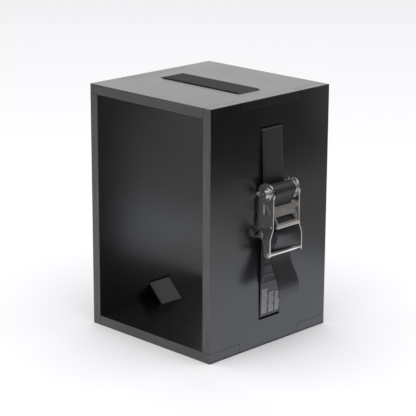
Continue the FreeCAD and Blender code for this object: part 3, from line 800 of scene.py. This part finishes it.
# ---------------------------------------------------------------- small steel on the cheeks
CHEEK_OUT = 34.0             # the cheek's outer face, from the middle of the strap
RIVET = (182.8, 229.6)
RIVET_SIDES = 24
RIVET_PROFILE = (            # radius, out of the cheek
    (1.7, -0.3), (1.7, 0.15), (1.5, 0.5), (1.05, 0.78), (0.5, 0.9), (0.1, 0.92))
TAB_CENTRE = (165.0, 259.0)
TAB_HALF_LENGTH = 9.0
TAB_HALF_WIDTH = 1.6
TAB_LAYERS = ((0.0, -0.3), (0.0, 0.35), (0.12, 0.6), (0.4, 0.72))    # inset, out of the cheek
TAB_END_STEPS = 8


def stadium(half_length, radius):
    """Outline of a bar with round ends, lengthwise along its second coordinate."""
    ends = []
    for k in range(TAB_END_STEPS + 1):
        angle = math.pi * k / TAB_END_STEPS
        ends.append((radius * math.cos(angle), half_length - radius + radius * math.sin(angle)))
    return ends + [(-x, -z) for x, z in ends]


def cheek_piece(name, layers, finish):
    """The same small part on both cheeks, from its layers (XZ outline, out of the cheek)."""
    rings = ring_faces(len(layers), len(layers[0][0]))
    for label, y_sign in (("front", -1), ("back", 1)):
        verts = [(x, y_sign * (CHEEK_OUT + out), z) for outline, out in layers for x, z in outline]
        faces = rings if y_sign < 0 else turned_round(rings)
        new_piece(name + label, verts, faces, finishes[finish], "handle")


rivet_layers = [
    ([polar(radius, 360 * k / RIVET_SIDES, RIVET) for k in range(RIVET_SIDES)], out)
    for radius, out in RIVET_PROFILE
]
cheek_piece("cheek_rivet_", rivet_layers, "bright_steel")
tab_layers = [
    ([(TAB_CENTRE[0] + x, TAB_CENTRE[1] + z)
      for x, z in stadium(TAB_HALF_LENGTH - inset, TAB_HALF_WIDTH - inset)], out)
    for inset, out in TAB_LAYERS
]
cheek_piece("release_tab_", tab_layers, "plated_steel")


# ---------------------------------------------------------------- studio
def plane(name, centre, along, rise, material):
    """A flat card: centre, and half its two sides as vectors."""
    centre, along, rise = Vector(centre), Vector(along), Vector(rise)
    corners = [centre + along * a + rise * b for a, b in ((-1, -1), (1, -1), (1, 1), (-1, 1))]
    mesh = bpy.data.meshes.new(name)
    mesh.from_pydata([tuple(c) for c in corners], [], [(0, 1, 2, 3)])
    card = bpy.data.objects.new(name, mesh)
    scene.collection.objects.link(card)
    mesh.materials.append(material)
    return card


def glow(name, colour, strength):
    """A surface that only shines, without reflecting anything."""
    return Nodes(name).shade(
        Base_Color=rgba(0, 0, 0), Roughness=1.0, Specular_IOR_Level=0.0,
        Emission_Color=rgba(*colour), Emission_Strength=strength,
    )


def reflected_only(card):
    """Lets a card be seen in reflections alone."""
    card.visible_camera = False
    card.visible_diffuse = False
    card.visible_shadow = False
    card.visible_transmission = False
    card.visible_volume_scatter = False


def paper_material(name):
    n = Nodes(name)
    grain = n.noise(n.place(), 300.0, 3.0)
    white = n.blend(grain, rgba(0.922, 0.927, 0.938), rgba(0.937, 0.942, 0.953))
    return n.shade(Base_Color=white, Roughness=0.9, Specular_IOR_Level=0.1)


# Name, centre, half its two sides; then its material's name, colour and strength. Metres.
CARDS = (
    ("card_right", (0.52, 0.06, 0.437), (0, 0.53, 0), (0, 0, 0.27),
     "card_black", (0, 0, 0), 0.0),
    ("card_front", (-0.9, -1.5, 0.45), (0.95, -0.95, 0), (0, 0, 0.46),
     "card_grey", (0.95, 0.97, 1.0), 0.26),
    ("card_low", (0.80, 0.95, 0.002), (0.60, 0, 0), (0, 0.50, 0),
     "card_dim", (1, 1, 1), 0.55),
    ("card_near", (0.321, 0.13, 0.002), (0.169, 0, 0), (0, 0.33, 0),
     "card_cool", (0.94, 0.99, 1.09), 1.3),
    ("card_back", (-2.2, 2.4, 1.3), (1.8, 1.8, 0), (0, 0, 1.3),
     "card_bright", (1, 1, 1), 1.22),
)
FLOOR_HALF = 15.0
WORLD_COLOUR = rgba(0.972, 0.97, 0.976)
WORLD_STRENGTH = 0.92

plane("floor", (0, 0, 0), (FLOOR_HALF, 0, 0), (0, FLOOR_HALF, 0), paper_material("floor_paper"))
for name, centre, along, rise, *surface in CARDS:
    reflected_only(plane(name, centre, along, rise, glow(*surface)))

world = bpy.data.worlds.new("studio")
scene.world = world
world.use_nodes = True
background = world.node_tree.nodes["Background"]
background.inputs["Color"].default_value = WORLD_COLOUR
background.inputs["Strength"].default_value = WORLD_STRENGTH


def soft_light(name, where, towards, size, power):
    """A square area light, its side in metres."""
    data = bpy.data.lights.new(name, "AREA")
    data.size = size
    data.energy = power
    light = bpy.data.objects.new(name, data)
    scene.collection.objects.link(light)
    light.location = where
    look = Vector(towards) - Vector(where)
    light.rotation_euler = look.to_track_quat("-Z", "Y").to_euler()


soft_light("overhead", (0.5, -0.5, 3.2), (0.1, 0, 0.2), size=3.0, power=33.0)
soft_light("key", (-1.4, -1.2, 2.6), (0, 0, 0.2), size=1.6, power=2.5)
